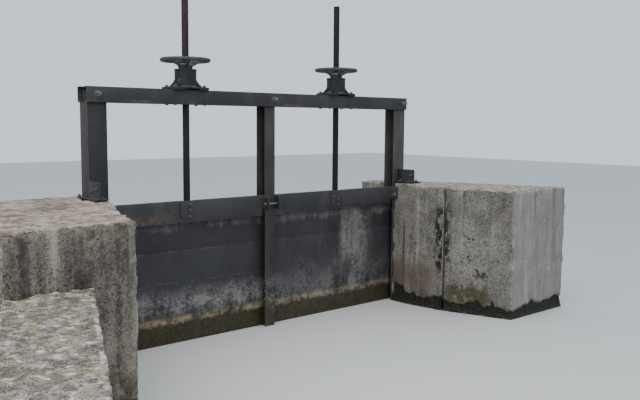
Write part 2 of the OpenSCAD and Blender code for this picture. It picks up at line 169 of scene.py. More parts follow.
class Shader:
    """A material built from expressions on the points of the piece."""

    def __init__(self, name):
        self.material = bpy.data.materials.new(name)
        self.material.use_nodes = True
        self.nodes = self.material.node_tree.nodes
        self.links = self.material.node_tree.links
        self.nodes.clear()
        self.point = self.add("ShaderNodeTexCoord", {}, {}, "Object")
        self.x, self.y, self.z = self.outputs("ShaderNodeSeparateXYZ", {"Vector": self.point}, "X", "Y", "Z")

    def make(self, kind, settings, values):
        node = self.nodes.new(kind)
        for key, value in settings.items():
            setattr(node, key, value)
        for key, value in values.items():
            socket = node.inputs[key]
            if isinstance(value, Link):
                self.links.new(value.socket, socket)
            elif socket.type == "RGBA":
                socket.default_value = (*tuple(value)[:3], 1.0)
            else:
                socket.default_value = value
        return node

    def add(self, kind, settings, values, output=0):
        return Link(self, self.make(kind, settings, values).outputs[output])

    def outputs(self, kind, values, *names):
        node = self.make(kind, {}, values)
        return [Link(self, node.outputs[name]) for name in names]

    def stretched(self, x, y, z, shift=(0.0, 0.0, 0.0)):
        """The piece's points, scaled so that a pattern on them is stretched, and moved."""
        values = {"Vector": self.point, "Scale": (x, y, z), "Location": shift}
        return self.add("ShaderNodeMapping", {}, values)

    def noise(self, scale, detail=4.0, rough=0.55, at=None, shift=None):
        where = at or (self.stretched(1, 1, 1, shift) if shift else self.point)
        values = {"Vector": where, "Scale": scale, "Detail": detail, "Roughness": rough}
        return self.add("ShaderNodeTexNoise", {}, values, "Fac")

    def runs(self, scale, detail, rough, squash, shift=(0.0, 0.0, 0.0)):
        """Noise drawn out up and down the piece, the longer the smaller the squash."""
        return self.noise(scale, detail, rough, at=self.stretched(1, 1, squash, shift))

    def cells(self, scale, feature="F1", at=None, output="Distance"):
        values = {"Vector": at or self.point, "Scale": scale}
        return self.add("ShaderNodeTexVoronoi", {"feature": feature}, values, output)

    def mix(self, share, below, above, blend="MIX"):
        """Colour below where share is 0, and above where it is 1."""
        settings = {"data_type": "RGBA", "blend_type": blend}
        return self.add("ShaderNodeMix", settings, {SHARE: share, BELOW: below, ABOVE: above}, MIXED)

    def lay(self, share, colour):
        """Lays the colour over what is there, where share is 1."""
        self.colour = self.mix(share, self.colour, colour)

    def stain(self, share, tint):
        """Multiplies what is there by the tint, where share is 1."""
        self.colour = self.mix(share, self.colour, tint, "MULTIPLY")

    def tones(self, share, colour, low, high):
        """The colour tinted by low where share is 0, and by high where it is 1."""
        return self.mix(share, tinted(colour, low), tinted(colour, high))

    def bump(self, height, distance, strength=1.0):
        values = {"Height": height, "Distance": distance, "Strength": strength}
        return self.add("ShaderNodeBump", {}, values, "Normal")

    def facing(self, axis):
        """How far the face looks along the axis: 1 with it, -1 against it."""
        normal = self.add("ShaderNodeNewGeometry", {}, {}, "Normal")
        return self.outputs("ShaderNodeSeparateXYZ", {"Vector": normal}, axis)[0]

    def attribute(self, name):
        return self.add("ShaderNodeAttribute", {"attribute_name": name}, {}, "Fac")

    def edges(self, radius):
        """1 along sharp edges, within about the radius, and 0 on flat faces."""
        normal = self.add("ShaderNodeNewGeometry", {}, {}, "Normal")
        bevel = self.add("ShaderNodeBevel", {"samples": 4}, {"Radius": radius})
        dot = self.add("ShaderNodeVectorMath", {"operation": "DOT_PRODUCT"}, {0: normal, 1: bevel}, "Value")
        return (1.0 - dot).ramp(0.01, 0.16)

    def band(self, value, low, high, soft):
        """1 between low and high, fading over soft on either side."""
        return value.ramp(low - soft, low + soft) * value.ramp(high + soft, high - soft)

    def finish(self, roughness, normal=None, metallic=0.0, specular=0.5):
        values = {"Base Color": self.colour, "Roughness": roughness, "Metallic": metallic}
        values["Specular IOR Level"] = specular
        if normal is not None:
            values["Normal"] = normal
        surface = self.make("ShaderNodeBsdfPrincipled", {}, values)
        output = self.make("ShaderNodeOutputMaterial", {}, {})
        self.links.new(surface.outputs[0], output.inputs["Surface"])
        return self.material


# Concrete finish


class ConcreteShader(Shader):
    """A shader with the patterns that all layers of a concrete wall share."""

    def __init__(self, name, tone):
        super().__init__(name)
        self.look = bpy.context.scene.gate_concrete
        self.cement = tinted(self.look.colour, tone)
        self.up = self.facing("Z")
        self.side = self.up.ramp(0.75, 0.25)
        self.patch = self.noise(6.0, 6, 0.6)
        self.fine = self.noise(38.0, 5, 0.65)
        self.grit = self.noise(120.0, 4, 0.7)
        self.mottle = self.noise(14.0, 7, 0.7)


def aggregate(s):
    """The cement face with stones and grit showing through, and where its pebbles are."""
    stone_scale = 62.0
    s.colour = s.tones(s.noise(1.7, 4).ramp(0.36, 0.66), s.cement, 0.8, 1.16)
    s.stain(s.patch.ramp(0.42, 0.62) * 0.6, (0.72, 0.69, 0.64))
    stone = s.cells(stone_scale, output="Color")
    stone_grey = s.outputs("ShaderNodeSeparateColor", {"Color": stone}, "Red")[0]
    bare = (s.patch * 0.6 + s.fine * 0.4).ramp(0.42, 0.58)
    pebble = s.cells(stone_scale).ramp(0.46, 0.28) * bare
    s.lay(pebble * 0.75, s.tones(stone_grey, s.cement, 0.3, 1.85))
    s.stain(s.fine.ramp(0.52, 0.36) * 0.65, (0.4, 0.38, 0.36))
    s.stain(s.noise(80.0, 3, 0.6).ramp(0.5, 0.4) * 0.7, (0.42, 0.4, 0.38))
    s.lay(s.grit.ramp(0.56, 0.66) * 0.5, tinted(s.cement, 2.3))
    return pebble


def air_holes(s):
    """Small dark holes in the cement face, and where they are."""
    holes = s.cells(26.0, at=s.stretched(1, 1, 1.2)).ramp(0.22, 0.1) * s.noise(9.0, 3).ramp(0.48, 0.6)
    s.stain(holes, (0.25, 0.23, 0.21))
    return holes


def growth_and_runs(s, streaks):
    """Black growth in runs, dark flecks and pale runs on upright faces, and the first two's places."""
    runs = s.runs(7.5, 5, 0.6, 0.13, (0.31, 0.17, 0))
    low = 0.66 - 0.13 * streaks
    growth = (runs * 0.66 + s.mottle * 0.54).ramp(low, low + 0.15) * s.side
    s.lay(growth * 0.85, s.look.dark)
    where = s.noise(3.1, 5, 0.65).ramp(0.46, 0.64)
    flecks = s.cells(54.0, at=s.stretched(1, 1, 0.8)).ramp(0.34, 0.22) * where
    s.lay(flecks * s.side * s.facing("X").size() * 0.65, tinted(s.look.dark, 0.8))
    pale_runs = s.runs(12.0, 4, 0.5, 0.1, (0.73, 0.41, 0)).ramp(0.56, 0.72) * s.side
    s.lay(pale_runs * 0.5, tinted(s.cement, 1.9))
    return growth, flecks


def worn_top(s, rough):
    """The dusty top, with pale knobs in dark hollows where it is rough, and the knobs' height."""
    top = s.up.ramp(0.55, 0.9)
    lump = s.noise(16.0, 6, 0.7)
    knobs = s.cells(19.0, "SMOOTH_F1").ramp(0.46, 0.26) * lump.ramp(0.44, 0.56)
    dusty = s.tones((lump * 0.5 + s.fine * 0.5).ramp(0.44, 0.56), s.look.top, 0.42, 1.45)
    hollow = s.tones((lump * 0.45 + s.grit * 0.55).ramp(0.46, 0.54), s.look.top, 0.18, 1.0)
    hollow = s.mix(knobs, hollow, tinted(s.look.top, 1.9))
    cover = top * (0.8 - 0.1 * (1.0 - rough))
    s.lay(cover, s.mix(rough, dusty, hollow))
    return knobs * top * rough


def lichen_and_moss(s, moss):
    """Yellow lichen toward the top and green growth toward the water."""
    lichen = s.cells(34.0).ramp(0.34, 0.16) * s.noise(4.5, 4, 0.6, shift=(3.1, 0.7, 0)).ramp(0.56, 0.68)
    s.lay(lichen * s.z.ramp(0.55, 1.1) * 0.7, s.look.lichen)
    wet = (s.z + s.noise(5.0, 5, 0.6) * 0.22 - 0.11).ramp(moss, moss * 0.35)
    s.lay(wet * s.noise(13.0, 6, 0.7).ramp(0.36, 0.6) * 0.85, s.look.moss)


def worn_arris(s):
    """Pale cement where the edges are worn bare."""
    worn = s.attribute("wear").ramp(0.35, 0.95) * (s.mottle * 0.55 + s.fine * 0.45).ramp(0.42, 0.56)
    s.lay(worn * 0.65, tinted(s.cement, 2.1))


def water_band(s):
    """The band that the water has cut back, painted near black as wet concrete and as the shade under the
    ledge, its pale crest, and where that band is.
    """
    cut = s.attribute("ledge")
    wet_and_shaded = cut.most((s.z + s.noise(4.0, 4) * 0.12 - 0.06).ramp(0.13, 0.05))
    # Painted shade and wet concrete: near-black colour for the cut-back band and the shade under its ledge
    wet_shade_colour = s.mix(s.fine.ramp(0.46, 0.66), (0.008, 0.008, 0.006), (0.034, 0.032, 0.02))
    s.lay(wet_and_shaded * 0.96, wet_shade_colour)
    crest = s.band(cut, 0.14, 0.44, 0.1) * (s.mottle * 0.5 + s.patch * 0.5).ramp(0.48, 0.56)
    s.lay(crest * 0.55, tinted(s.cement, 1.7))
    return wet_and_shaded


def concrete(name, tone, streaks, moss, rough, marks):
    """Old board-faced concrete: aggregate showing through, black growth, runs, moss at the water."""
    s = ConcreteShader(name, tone)
    pebble = aggregate(s)
    holes = air_holes(s)
    growth, flecks = growth_and_runs(s, streaks)
    knobs = worn_top(s, rough)
    lichen_and_moss(s, moss)
    worn_arris(s)
    marks(s)
    wet_and_shaded = water_band(s)
    height = s.fine * 0.6 + s.mottle * 0.6 - holes * 0.9 - flecks * 0.5 + pebble * 0.4 + s.grit * 0.2 + knobs
    return s.finish(0.94 - wet_and_shaded * 0.15 - growth * 0.08, s.bump(height, 0.01), specular=0.3)


def joint_marks(s, along, wall, blot, wander):
    """The right bank's joint: a pale edge, a painted shadow line in the joint's gap and black crusts beside
    it.
    """
    joint_at = GATE_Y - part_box("right_abutment")[0].y
    near_joint = along - joint_at
    edge = s.band(near_joint, -0.065, -0.022, 0.012) * s.z.ramp(0.7, 1.0) * s.fine.ramp(0.34, 0.56) * wall
    s.lay(edge * 0.6, (0.33, 0.31, 0.28))
    # Painted shadow: a near-black line along the joint's gap
    s.lay(near_joint.size().ramp(0.022, 0.01) * wall * 0.85, (0.04, 0.036, 0.028))
    beside = along + wander.sway(0.16) + blot.sway(0.1)
    joint = s.band(beside, 0.62, 0.78, 0.035) * s.band(s.z + wander.sway(0.3), 0.36, 1.08, 0.12)
    sparse = s.noise(7.5, 6, 0.7, shift=(0.4, 1.3, 0.2)).ramp(0.595, 0.625) * s.band(along, 0.84, 1.25, 0.05)
    crust = joint * (blot * 0.8 + wander * 0.2).ramp(0.475, 0.525)
    crust = crust.most(sparse * s.band(s.z, 0.36, 0.8, 0.08)) * wall
    s.lay(joint * blot.ramp(0.3, 0.56) * wall * 0.5, (0.095, 0.083, 0.04))
    s.lay(crust * 0.96, (0.01, 0.01, 0.008))
    inner = s.noise(12.0, 6, 0.7, shift=(0.2, 0.5, 0.8)).ramp(0.54, 0.6) * s.band(along, 0.36, 0.46, 0.06)
    s.lay(inner * s.band(s.z, 0.48, 0.72, 0.08) * wall * 0.85, (0.016, 0.015, 0.012))


def upright_runs(s, along, wall, blot, wander):
    """An ochre run that leans away from the post, and the shadow in the bend beside it."""
    lean, foot, bend = 0.116, 0.157, 0.235
    middle = s.z * lean + foot + s.fine.sway(0.04) + wander.sway(0.05)
    run = (along - middle).size().ramp(0.02, 0.006) * s.band(s.z, 0.3, 1.3, 0.1) * wall
    s.lay(run * (s.fine * 0.5 + blot * 0.5).ramp(0.34, 0.56) * 0.75, (0.2, 0.15, 0.07))
    shadow = (along - bend + wander.sway(0.03)).size().ramp(0.022, 0.006) * s.band(s.z, 0.25, 0.9, 0.15)
    s.lay(shadow * wall * 0.75, (0.04, 0.034, 0.026))


def foot_marks(s, along, wall, blot, wander):
    """A brown stain low beside the post and green growth low past the joint."""
    stain = along.ramp(0.66, 0.5) * s.band(s.z + blot.sway(0.24), 0.16, 0.46, 0.08) * wall
    s.lay(stain * 0.66, (0.1, 0.075, 0.046))
    green = s.band(along + wander.sway(0.3), 0.72, 1.18, 0.08)
    green = green * s.band(s.z + blot.sway(0.4), 0.13, 0.27, 0.04) * wall
    s.lay(green * s.fine.ramp(0.3, 0.52) * 0.9, (0.054, 0.049, 0.018))


def end_marks(s):
    """The paler end face with its dark and light drips."""
    end = s.facing("Y").ramp(-0.6, -0.9)
    drips = s.runs(9.0, 6, 0.65, 0.1, (0.2, 0.6, 0))
    s.lay(end * 0.5, (0.33, 0.305, 0.275))
    s.lay(drips.ramp(0.5, 0.64) * end * 0.55, (0.12, 0.11, 0.1))
    s.lay(drips.ramp(0.44, 0.36) * end * 0.5, (0.42, 0.395, 0.36))


def canal_marks(s):
    """Stains of the right bank's walls, placed by the distance downstream and the height."""
    along = GATE_Y - s.y
    wall = s.facing("X").ramp(-0.4, -0.7)
    blot = s.runs(17.0, 6, 0.72, 0.6)
    wander = s.noise(4.0, 4, 0.6, at=s.stretched(0.01, 0.01, 1))
    soot = s.z.ramp(0.45, 1.05) * s.noise(6.5, 7, 0.72, shift=(1.7, 0.2, 0.9)).ramp(0.4, 0.62) * wall
    s.lay(soot * s.fine.ramp(0.36, 0.56) * 0.55, (0.05, 0.047, 0.044))
    for marks in (joint_marks, upright_runs, foot_marks):
        marks(s, along, wall, blot, wander)
    end_marks(s)


def bank_marks(s):
    """Earth and lichen on the left bank's top, black runs under its front edge, a green foot."""
    front = s.facing("Y").ramp(-0.6, -0.9)
    back = s.y - ((s.x - LEFT_CORNER.x) * FRONT_SLANT + LEFT_CORNER.y)
    crown = s.up.ramp(0.6, 0.9)
    s.stain(1.0, (1.0, 0.94, 0.87))
    broken = s.noise(4.5, 9, 0.8, shift=(0.3, 0.9, 0))
    s.lay(broken.ramp(0.52, 0.58) * crown * 0.75, (0.12, 0.09, 0.072))
    s.lay(broken.ramp(0.46, 0.41) * crown * 0.75, (0.5, 0.44, 0.37))
    spots = s.noise(24.0, 6, 0.7).ramp(0.44, 0.6) * s.band(back, 0.03, 0.16, 0.05) * crown
    s.lay(spots * 0.6, (0.34, 0.265, 0.12))
    run = s.runs(5.2, 5, 0.62, 0.16, (0.9, 0.2, 0.0))
    black = (run * 0.6 + s.fine * 0.4).ramp(0.46, 0.58) * front * s.band(s.z, 0.55, 1.26, 0.22)
    s.lay(black * 0.78, (0.036, 0.034, 0.031))
    corner = s.band(s.x - LEFT_CORNER.x, -0.06, 0.01, 0.012) * front * s.fine.ramp(0.36, 0.6)
    s.lay(corner * 0.55, (0.34, 0.31, 0.27))
    foot = s.z.ramp(0.5, 0.12) * s.noise(10.0, 6, 0.7).ramp(0.34, 0.56)
    s.lay(foot * 0.8, (0.046, 0.044, 0.02))


def wing_marks(s):
    """White knobs and brown and yellow growth on the low wall's worn top."""
    crown = s.up.ramp(0.5, 0.9)
    brown = s.noise(7.0, 8, 0.75, shift=(0.6, 0.1, 0)).ramp(0.5, 0.6) * crown
    s.lay(brown * 0.55, (0.15, 0.115, 0.092))
    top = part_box("left_wing_wall")[1].z
    rim = s.attribute("wear").ramp(0.02, 0.3) * s.z.ramp(top - 0.09, top - 0.04)
    knobs = s.cells(15.0, "SMOOTH_F1").ramp(0.5, 0.3) * rim * s.fine.ramp(0.34, 0.5)
    s.lay(knobs * 0.75, (0.62, 0.59, 0.55))
    spots = s.noise(8.0, 7, 0.75, shift=(0.2, 0.8, 0)).ramp(0.54, 0.6) * s.fine.ramp(0.36, 0.54) * crown
    s.lay(spots * 0.6, (0.26, 0.205, 0.075))


# Finishes of steel and iron


def left_faces(s):
    return s.facing("X").ramp(-0.5, -0.9)


def front_faces(s):
    return s.facing("Y").ramp(-0.5, -0.9)


def bolt_places(s):
    """Browned paint round the beam's bolts."""
    spots = [s.band(s.x - (GATE_X + x), -0.1, 0.1, 0.06) for x in BOLT_XS]
    return spots[0].most(spots[1]).most(spots[2]) * s.noise(12.0, 5, 0.65).ramp(0.4, 0.6) * 0.4


def lower_edge_rust(s):
    """Runs of red rust along the front beam's lower edge."""
    low = s.band(s.z, BEAM_LOW.z, BEAM_LOW.z + 0.022, 0.012)
    along = s.noise(2.6, 3, 0.5, at=s.stretched(1, 0.01, 0.01)).ramp(0.5, 0.62)
    return low * along * 0.9


def cross_beam_rust(s):
    """Brown patch low on the cross beam's left end."""
    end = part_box("cross_beam_left")[0]
    patch = s.band(s.x, end.x + 0.1, end.x + 0.56, 0.1) * s.z.ramp(end.z + 0.12, end.z + 0.03)
    return patch * s.noise(13.0, 5, 0.6).ramp(0.32, 0.54) * 0.95


def post_grooves(s, sunk):
    """Shade in the posts' grooves, between their flanges."""
    outer, inner = 0.012, 0.03
    between = s.y.ramp(POST_LOW.y + outer, POST_LOW.y + inner)
    between = between * s.y.ramp(POST_HIGH.y - outer, POST_HIGH.y - inner)
    s.stain(between * sunk, (0.14, 0.14, 0.16))


def wet_foot(s, speck, blotch):
    """Lime on the steel over the water, and algae at the water."""
    limed = s.z.ramp(0.62, 0.3) * (speck * 0.6 + blotch * 0.4).ramp(0.47, 0.56)
    s.lay(limed * 0.6, (0.24, 0.215, 0.18))
    algae = s.z.ramp(0.3, 0.1) * blotch.ramp(0.3, 0.5)
    s.lay(algae * 0.8, (0.036, 0.033, 0.016))


def painted_steel(name, tone, rusty, browned=None, marks=None, sunk=0.0):
    """Flat dark bituminous paint, chalked in patches, browned on some faces, rusting at its edges."""
    look = bpy.context.scene.gate_steel
    s = Shader(name)
    paint = tinted(look.paint, tone)
    speck = s.noise(55.0, 5, 0.7)
    blotch = s.noise(11.0, 6, 0.65, shift=(1.3, 2.2, 0))
    drift = s.runs(9.0, 5, 0.6, 0.35)
    s.colour = s.tones(s.noise(2.3, 4).ramp(0.35, 0.65), paint, 0.85, 1.25)
    s.lay(drift.ramp(0.48, 0.68) * 0.5, tinted(paint, 1.7))
    s.stain(speck.ramp(0.5, 0.34) * 0.5, (0.55, 0.55, 0.58))
    if browned is not None:
        worn = s.tones(drift.ramp(0.36, 0.66), look.brown, tone * 0.78, tone * 1.25)
        s.lay(browned(s) * 0.9, worn)
    post_grooves(s, sunk)
    edge = s.edges(0.006)
    high = 0.66 - 0.14 * rusty
    rust = (blotch * 0.7 + speck * 0.3).ramp(high, high + 0.1)
    rust = rust.most(edge * (speck * 0.5 + blotch * 0.5).ramp(0.46, 0.58) * 0.7)
    if marks is not None:
        rust = rust.most(marks(s))
    s.lay(rust * 0.8, s.tones(speck.ramp(0.35, 0.65), look.rust, 0.45, 1.0))
    chalk = edge * (drift * 0.5 + speck * 0.5).ramp(0.44, 0.6)
    s.lay(chalk * 0.65, (0.21, 0.2, 0.19))
    dust = s.facing("Z").ramp(0.6, 0.95) * s.noise(18.0, 4).ramp(0.35, 0.65)
    s.lay(dust * 0.4, (0.115, 0.108, 0.098))
    wet_foot(s, speck, blotch)
    normal = s.bump(speck * 0.35 + rust * 0.7 + blotch * 0.5, 0.0014, 0.8)
    return s.finish(0.55 + rust * 0.3 + dust * 0.2 + drift * 0.1, normal, specular=0.35)


def cast_iron(name, tone):
    """Sand-cast iron under thin grey paint, pale on its ribs and edges: worn paint and a painted highlight.
    """
    s = Shader(name)
    speck = s.noise(120.0, 4, 0.6)
    broad = s.noise(14.0, 5, 0.6)
    dark, light = tinted((0.036, 0.038, 0.043), tone), tinted((0.07, 0.073, 0.08), tone)
    s.colour = s.mix(broad.ramp(0.35, 0.68), dark, light)
    dust = s.facing("Z").ramp(0.3, 0.9) * broad.ramp(0.3, 0.6)
    s.lay(dust * 0.5, tinted((0.13, 0.135, 0.14), tone))
    # Painted highlight, with worn paint: pale along the ribs and edges
    rubbed_and_highlit = s.attribute("ridge").ramp(0.35, 0.85) * broad.ramp(0.4, 0.56)
    s.lay(rubbed_and_highlit * 0.5, (0.26, 0.26, 0.262))
    rust = (broad * 0.5 + speck * 0.5).ramp(0.57, 0.66)
    s.lay(rust * 0.55, (0.08, 0.05, 0.034))
    normal = s.bump(speck * 0.6 + broad * 0.4, 0.0016, 0.7)
    return s.finish(0.58 + broad * 0.2 + rust * 0.15, normal, specular=0.35)


def screw_steel(name, tone, red):
    """Greased screw thread with rust and grit held in the grease."""
    s = Shader(name)
    broad = s.runs(5.0, 5, 0.6, 0.5)
    speck = s.noise(70.0, 5, 0.7)
    dry = s.z.ramp(BEAM_LOW.z, BEAM_HIGH.z + 0.3)
    rusty = (0.022 + 0.034 * red, 0.02 + 0.008 * red, 0.02 + 0.01 * red)
    share = (broad * 0.65 + speck * 0.35).ramp(0.4, 0.6) * (0.25 + dry * 0.75)
    s.colour = s.mix(share, tinted((0.012, 0.011, 0.011), tone), tinted(rusty, tone))
    s.lay(s.edges(0.0015) * 0.25, (0.08, 0.072, 0.07))
    return s.finish(0.55 + speck * 0.25, s.bump(speck, 0.0006, 0.6), 0.1, 0.3)


def zinc(name, tone):
    """Dulled zinc on bolts and nuts, spotted with rust."""
    s = Shader(name)
    speck = s.noise(140.0, 4, 0.6)
    broad = s.noise(30.0, 4, 0.6)
    dark, light = tinted((0.2, 0.2, 0.205), tone), tinted((0.4, 0.4, 0.4), tone)
    s.colour = s.mix(broad.ramp(0.35, 0.65), dark, light)
    s.lay((broad * 0.4 + speck * 0.6).ramp(0.54, 0.66) * 0.8, (0.09, 0.055, 0.036))
    return s.finish(0.45 + broad * 0.25, s.bump(speck, 0.0005, 0.5), 0.35)


# Finish of the leaves


def left_lime(s):
    """Where lime lies on the left leaf: a band over the tide line and a rim under its top, and a veil."""
    share = s.band(s.z + s.runny.sway(0.24), 0.25, 0.43, 0.08)
    share = share.most((s.z + s.runny.sway(0.16)).ramp(0.955, 0.995) * 0.35)
    return share, s.band(s.z + s.cloud.sway(0.1), 0.516, 0.524, 0.008) * s.fine.ramp(0.45, 0.6) * 0.5


def right_lime(s):
    """Where lime lies on the right leaf: low down, in a broad run near its right end, and a veil."""
    across = s.x - GATE_X + s.runny.sway(0.5)
    share = (s.z + s.runny.sway(0.6)).ramp(0.66, 0.26) * 0.7
    share = share.most(s.band(across, 0.98, 1.32, 0.12) * 0.95)
    share = share.most((s.z + s.runny.sway(0.16)).ramp(0.945, 0.985) * 0.6)
    return share, s.band(s.z + s.cloud.sway(0.03), 0.206, 0.214, 0.006) * 0.8


def tide_and_algae(s, strength):
    """The brown tide line and the silt and algae under it."""
    level = s.z + s.noise(3.0, 5, 0.6, at=s.stretched(1, 1, 0.2)).sway(0.06) + s.fine.sway(0.06)
    tide = s.band(level, 0.165, 0.228, 0.022) * s.cloud.ramp(0.3, 0.5)
    dry = (s.cloud * 0.4 + s.fine * 0.6).ramp(0.42, 0.58)
    s.lay(tide * strength, s.mix(dry, (0.11, 0.085, 0.055), (0.33, 0.25, 0.155)))
    silt = (s.fine * 0.4 + s.grit * 0.6).ramp(0.4, 0.64)
    s.lay(level.ramp(0.19, 0.15) * 0.92, s.mix(silt, (0.02, 0.018, 0.01), (0.078, 0.06, 0.028)))


def leaf_steel(name, limed, chalk, spots, seamed, tide):
    """Leaf plates: dark paint above, lime and dried silt below, a brown tide line and algae."""
    paint = bpy.context.scene.gate_steel.paint
    s = Shader(name)
    s.cloud = s.noise(5.5, 7, 0.68)
    s.fine = s.noise(32.0, 5, 0.7)
    s.grit = s.noise(75.0, 4, 0.7)
    s.runny = s.runs(10.0, 5, 0.6, 0.12)
    s.colour = s.tones(s.noise(2.0, 4).ramp(0.35, 0.65), paint, 0.8, 1.12)
    s.lay(s.runny.ramp(0.55, 0.75) * 0.25, tinted(paint, 2.2))
    s.lay(s.grit.ramp(0.62, 0.72) * s.cloud.ramp(0.4, 0.62) * spots, (0.16, 0.155, 0.148))
    share, veil = limed(s)
    lime = (s.cloud * 0.25 + s.runny * 0.25 + s.fine * 0.25 + s.grit * 0.25).ramp(0.43, 0.58) * share
    s.lay(lime * 0.75, chalk)
    holes = (s.fine * 0.4 + s.grit * 0.6).ramp(0.48, 0.4) * share
    s.lay(holes * 0.7, tinted(paint, 0.6))
    s.lay(veil * 0.55, (0.23, 0.215, 0.195))
    broken = (s.fine * 0.5 + s.cloud * 0.5).ramp(0.47, 0.56)
    seam = s.band(s.z + s.fine.sway(0.002), 0.787, 0.7925, 0.0018) * broken
    s.lay(seam * seamed, (0.18, 0.175, 0.165))
    tide_and_algae(s, tide)
    normal = s.bump(s.fine * 0.4 + lime * 0.4 + s.cloud * 0.5 + seam, 0.0026, 0.85)
    return s.finish(0.6 + lime * 0.25, normal, specular=0.3)


# Colours of dry lime
WHITE, GREY = (0.29, 0.28, 0.266), (0.225, 0.218, 0.21)

# Every finish by name: what makes it, and its own tone, wear and marks
RECIPES = {
    "left_concrete": (concrete, dict(tone=1.08, streaks=0.55, moss=0.22, rough=0.3, marks=bank_marks)),
    "left_wing_concrete": (concrete, dict(tone=0.95, streaks=0.45, moss=0.22, rough=1.0, marks=wing_marks)),
    "right_concrete": (concrete, dict(tone=1.0, streaks=0.15, moss=0.2, rough=0.2, marks=canal_marks)),
    "left_post_paint": (painted_steel, dict(tone=0.46, rusty=0.2, browned=left_faces)),
    "middle_post_paint": (painted_steel, dict(tone=0.52, rusty=0.3, browned=front_faces, sunk=0.9)),
    "right_post_paint": (painted_steel, dict(tone=0.88, rusty=0.3, browned=front_faces, sunk=0.9)),
    "beam_paint": (painted_steel, dict(tone=0.84, rusty=0.3, browned=bolt_places, marks=lower_edge_rust)),
    "cross_beam_paint": (painted_steel, dict(tone=1.0, rusty=0.25, marks=cross_beam_rust)),
    "fitting_paint": (painted_steel, dict(tone=0.95, rusty=0.4)),
    "bracket_rust": (painted_steel, dict(tone=0.34, rusty=0.7, browned=left_faces)),
    "leaf_back_paint": (painted_steel, dict(tone=1.1, rusty=0.9)),
    "left_leaf_face": (leaf_steel, dict(limed=left_lime, chalk=WHITE, spots=0.25, seamed=0.6, tide=0.9)),
    "right_leaf_face": (leaf_steel, dict(limed=right_lime, chalk=GREY, spots=0.55, seamed=0.35, tide=0.65)),
    "pedestal_iron": (cast_iron, dict(tone=0.27)),
    "wheel_iron": (cast_iron, dict(tone=0.78)),
    "rusty_screw_steel": (screw_steel, dict(tone=1.0, red=1.0)),
    "dark_screw_steel": (screw_steel, dict(tone=0.85, red=0.25)),
    "worn_zinc": (zinc, dict(tone=0.48)),
    "dull_zinc": (zinc, dict(tone=0.3)),
}
FINISHES = {}


def finish_named(name):
    """The finish of that name, made once."""
    if name not in FINISHES:
        maker, details = RECIPES[name]
        FINISHES[name] = maker(name, **details)
    return FINISHES[name]


# Modelling by hand


def deselect():
    if bpy.context.object and bpy.context.object.mode != "OBJECT":
        close_mesh()
    bpy.ops.object.select_all(action="DESELECT")


def pick(piece):
    deselect()
    piece.select_set(True)
    bpy.context.view_layer.objects.active = piece


def settle(piece):
    """Moves the piece's place into its mesh."""
    pick(piece)
    bpy.ops.object.transform_apply(location=True, rotation=True, scale=True)


def open_mesh(piece):
    pick(piece)
    bpy.ops.object.mode_set(mode="EDIT")


def close_mesh():
    bpy.ops.object.mode_set(mode="OBJECT")


def edit(piece, *steps):
    """Runs the steps in edit mode with everything selected."""
    open_mesh(piece)
    bpy.ops.mesh.select_all(action="SELECT")
    for step in steps:
        step()
    close_mesh()


def modify(piece, kind, **settings):
    """Adds a modifier and applies it."""
    pick(piece)
    mod = piece.modifiers.new(kind.title(), kind)
    for key, value in settings.items():
        setattr(mod, key, value)
    bpy.ops.object.modifier_apply(modifier=mod.name)


def rounded(piece, width, degrees):
    """Rounds the edges that are sharper than so many degrees."""
    modify(piece, "BEVEL", width=width, segments=2, limit_method="ANGLE", angle_limit=math.radians(degrees))


def reshaped(piece, grain):
    """Rebuilds the piece's faces on an even grid."""
    modify(piece, "REMESH", mode="VOXEL", voxel_size=grain, adaptivity=0.0)


def name_piece(name):
    piece = bpy.context.object
    piece.name = piece.data.name = name
    return piece


def merge_doubles():
    bpy.ops.mesh.remove_doubles(threshold=1e-5)


def copy_of_node(node, name):
    """A copy of a solid, merged into clean faces, to be worked on."""
    pick(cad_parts[node])
    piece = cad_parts[node].copy()
    piece.data = piece.data.copy()
    for key in [k for k in piece.keys() if k.startswith("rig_")]:
        del piece[key]
    piece.parent = None
    bpy.context.collection.objects.link(piece)
    piece.name = piece.data.name = name
    piece.matrix_world = Matrix.Identity(4)
    piece.data.materials.clear()
    edit(piece, merge_doubles, lambda: bpy.ops.mesh.dissolve_limited(angle_limit=math.radians(1)))
    return piece


def join(pieces, name):
    deselect()
    for piece in pieces:
        piece.select_set(True)
    bpy.context.view_layer.objects.active = pieces[0]
    if len(pieces) > 1:
        bpy.ops.object.join()
    return name_piece(name)


def dress(piece, finish, body, slot, *nodes):
    """Gives the piece its finish and body, and hides the nodes that it stands for."""
    piece.data.materials.clear()
    piece.data.materials.append(finish_named(finish))
    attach(piece, body)
    if nodes:
        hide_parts(*nodes)
    return piece


def smooth(piece, degrees=35):
    pick(piece)
    bpy.ops.object.shade_smooth_by_angle(angle=math.radians(degrees))


def smooth_all_over(piece):
    pick(piece)
    bpy.ops.object.shade_smooth()


def cloud_texture(name, size, depth):
    texture = bpy.data.textures.new(name, "CLOUDS")
    texture.noise_scale, texture.noise_depth = size, depth
    return texture


def read_points(piece, what):
    values = np.empty(len(piece.data.vertices) * 3)
    piece.data.vertices.foreach_get(what, values)
    return values.reshape(-1, 3)


def keep_as(piece, name, values):
    """Stores the values on the points for the piece's finish to read."""
    kept = piece.data.attributes.new(name, "FLOAT", "POINT")
    kept.data.foreach_set("value", values.astype(np.float32))


def sharp_edges(piece, degrees=20):
    """End points of the piece's edges between faces that meet at more than so many degrees."""
    mesh = piece.data
    faces = {}
    for face in mesh.polygons:
        for key in face.edge_keys:
            faces.setdefault(key, []).append(face.normal)
    ends = [
        (mesh.vertices[a].co, mesh.vertices[b].co)
        for (a, b), normals in faces.items()
        if len(normals) == 2 and normals[0].angle(normals[1], 0) > math.radians(degrees)
    ]
    return np.array([[list(a), list(b)] for a, b in ends])


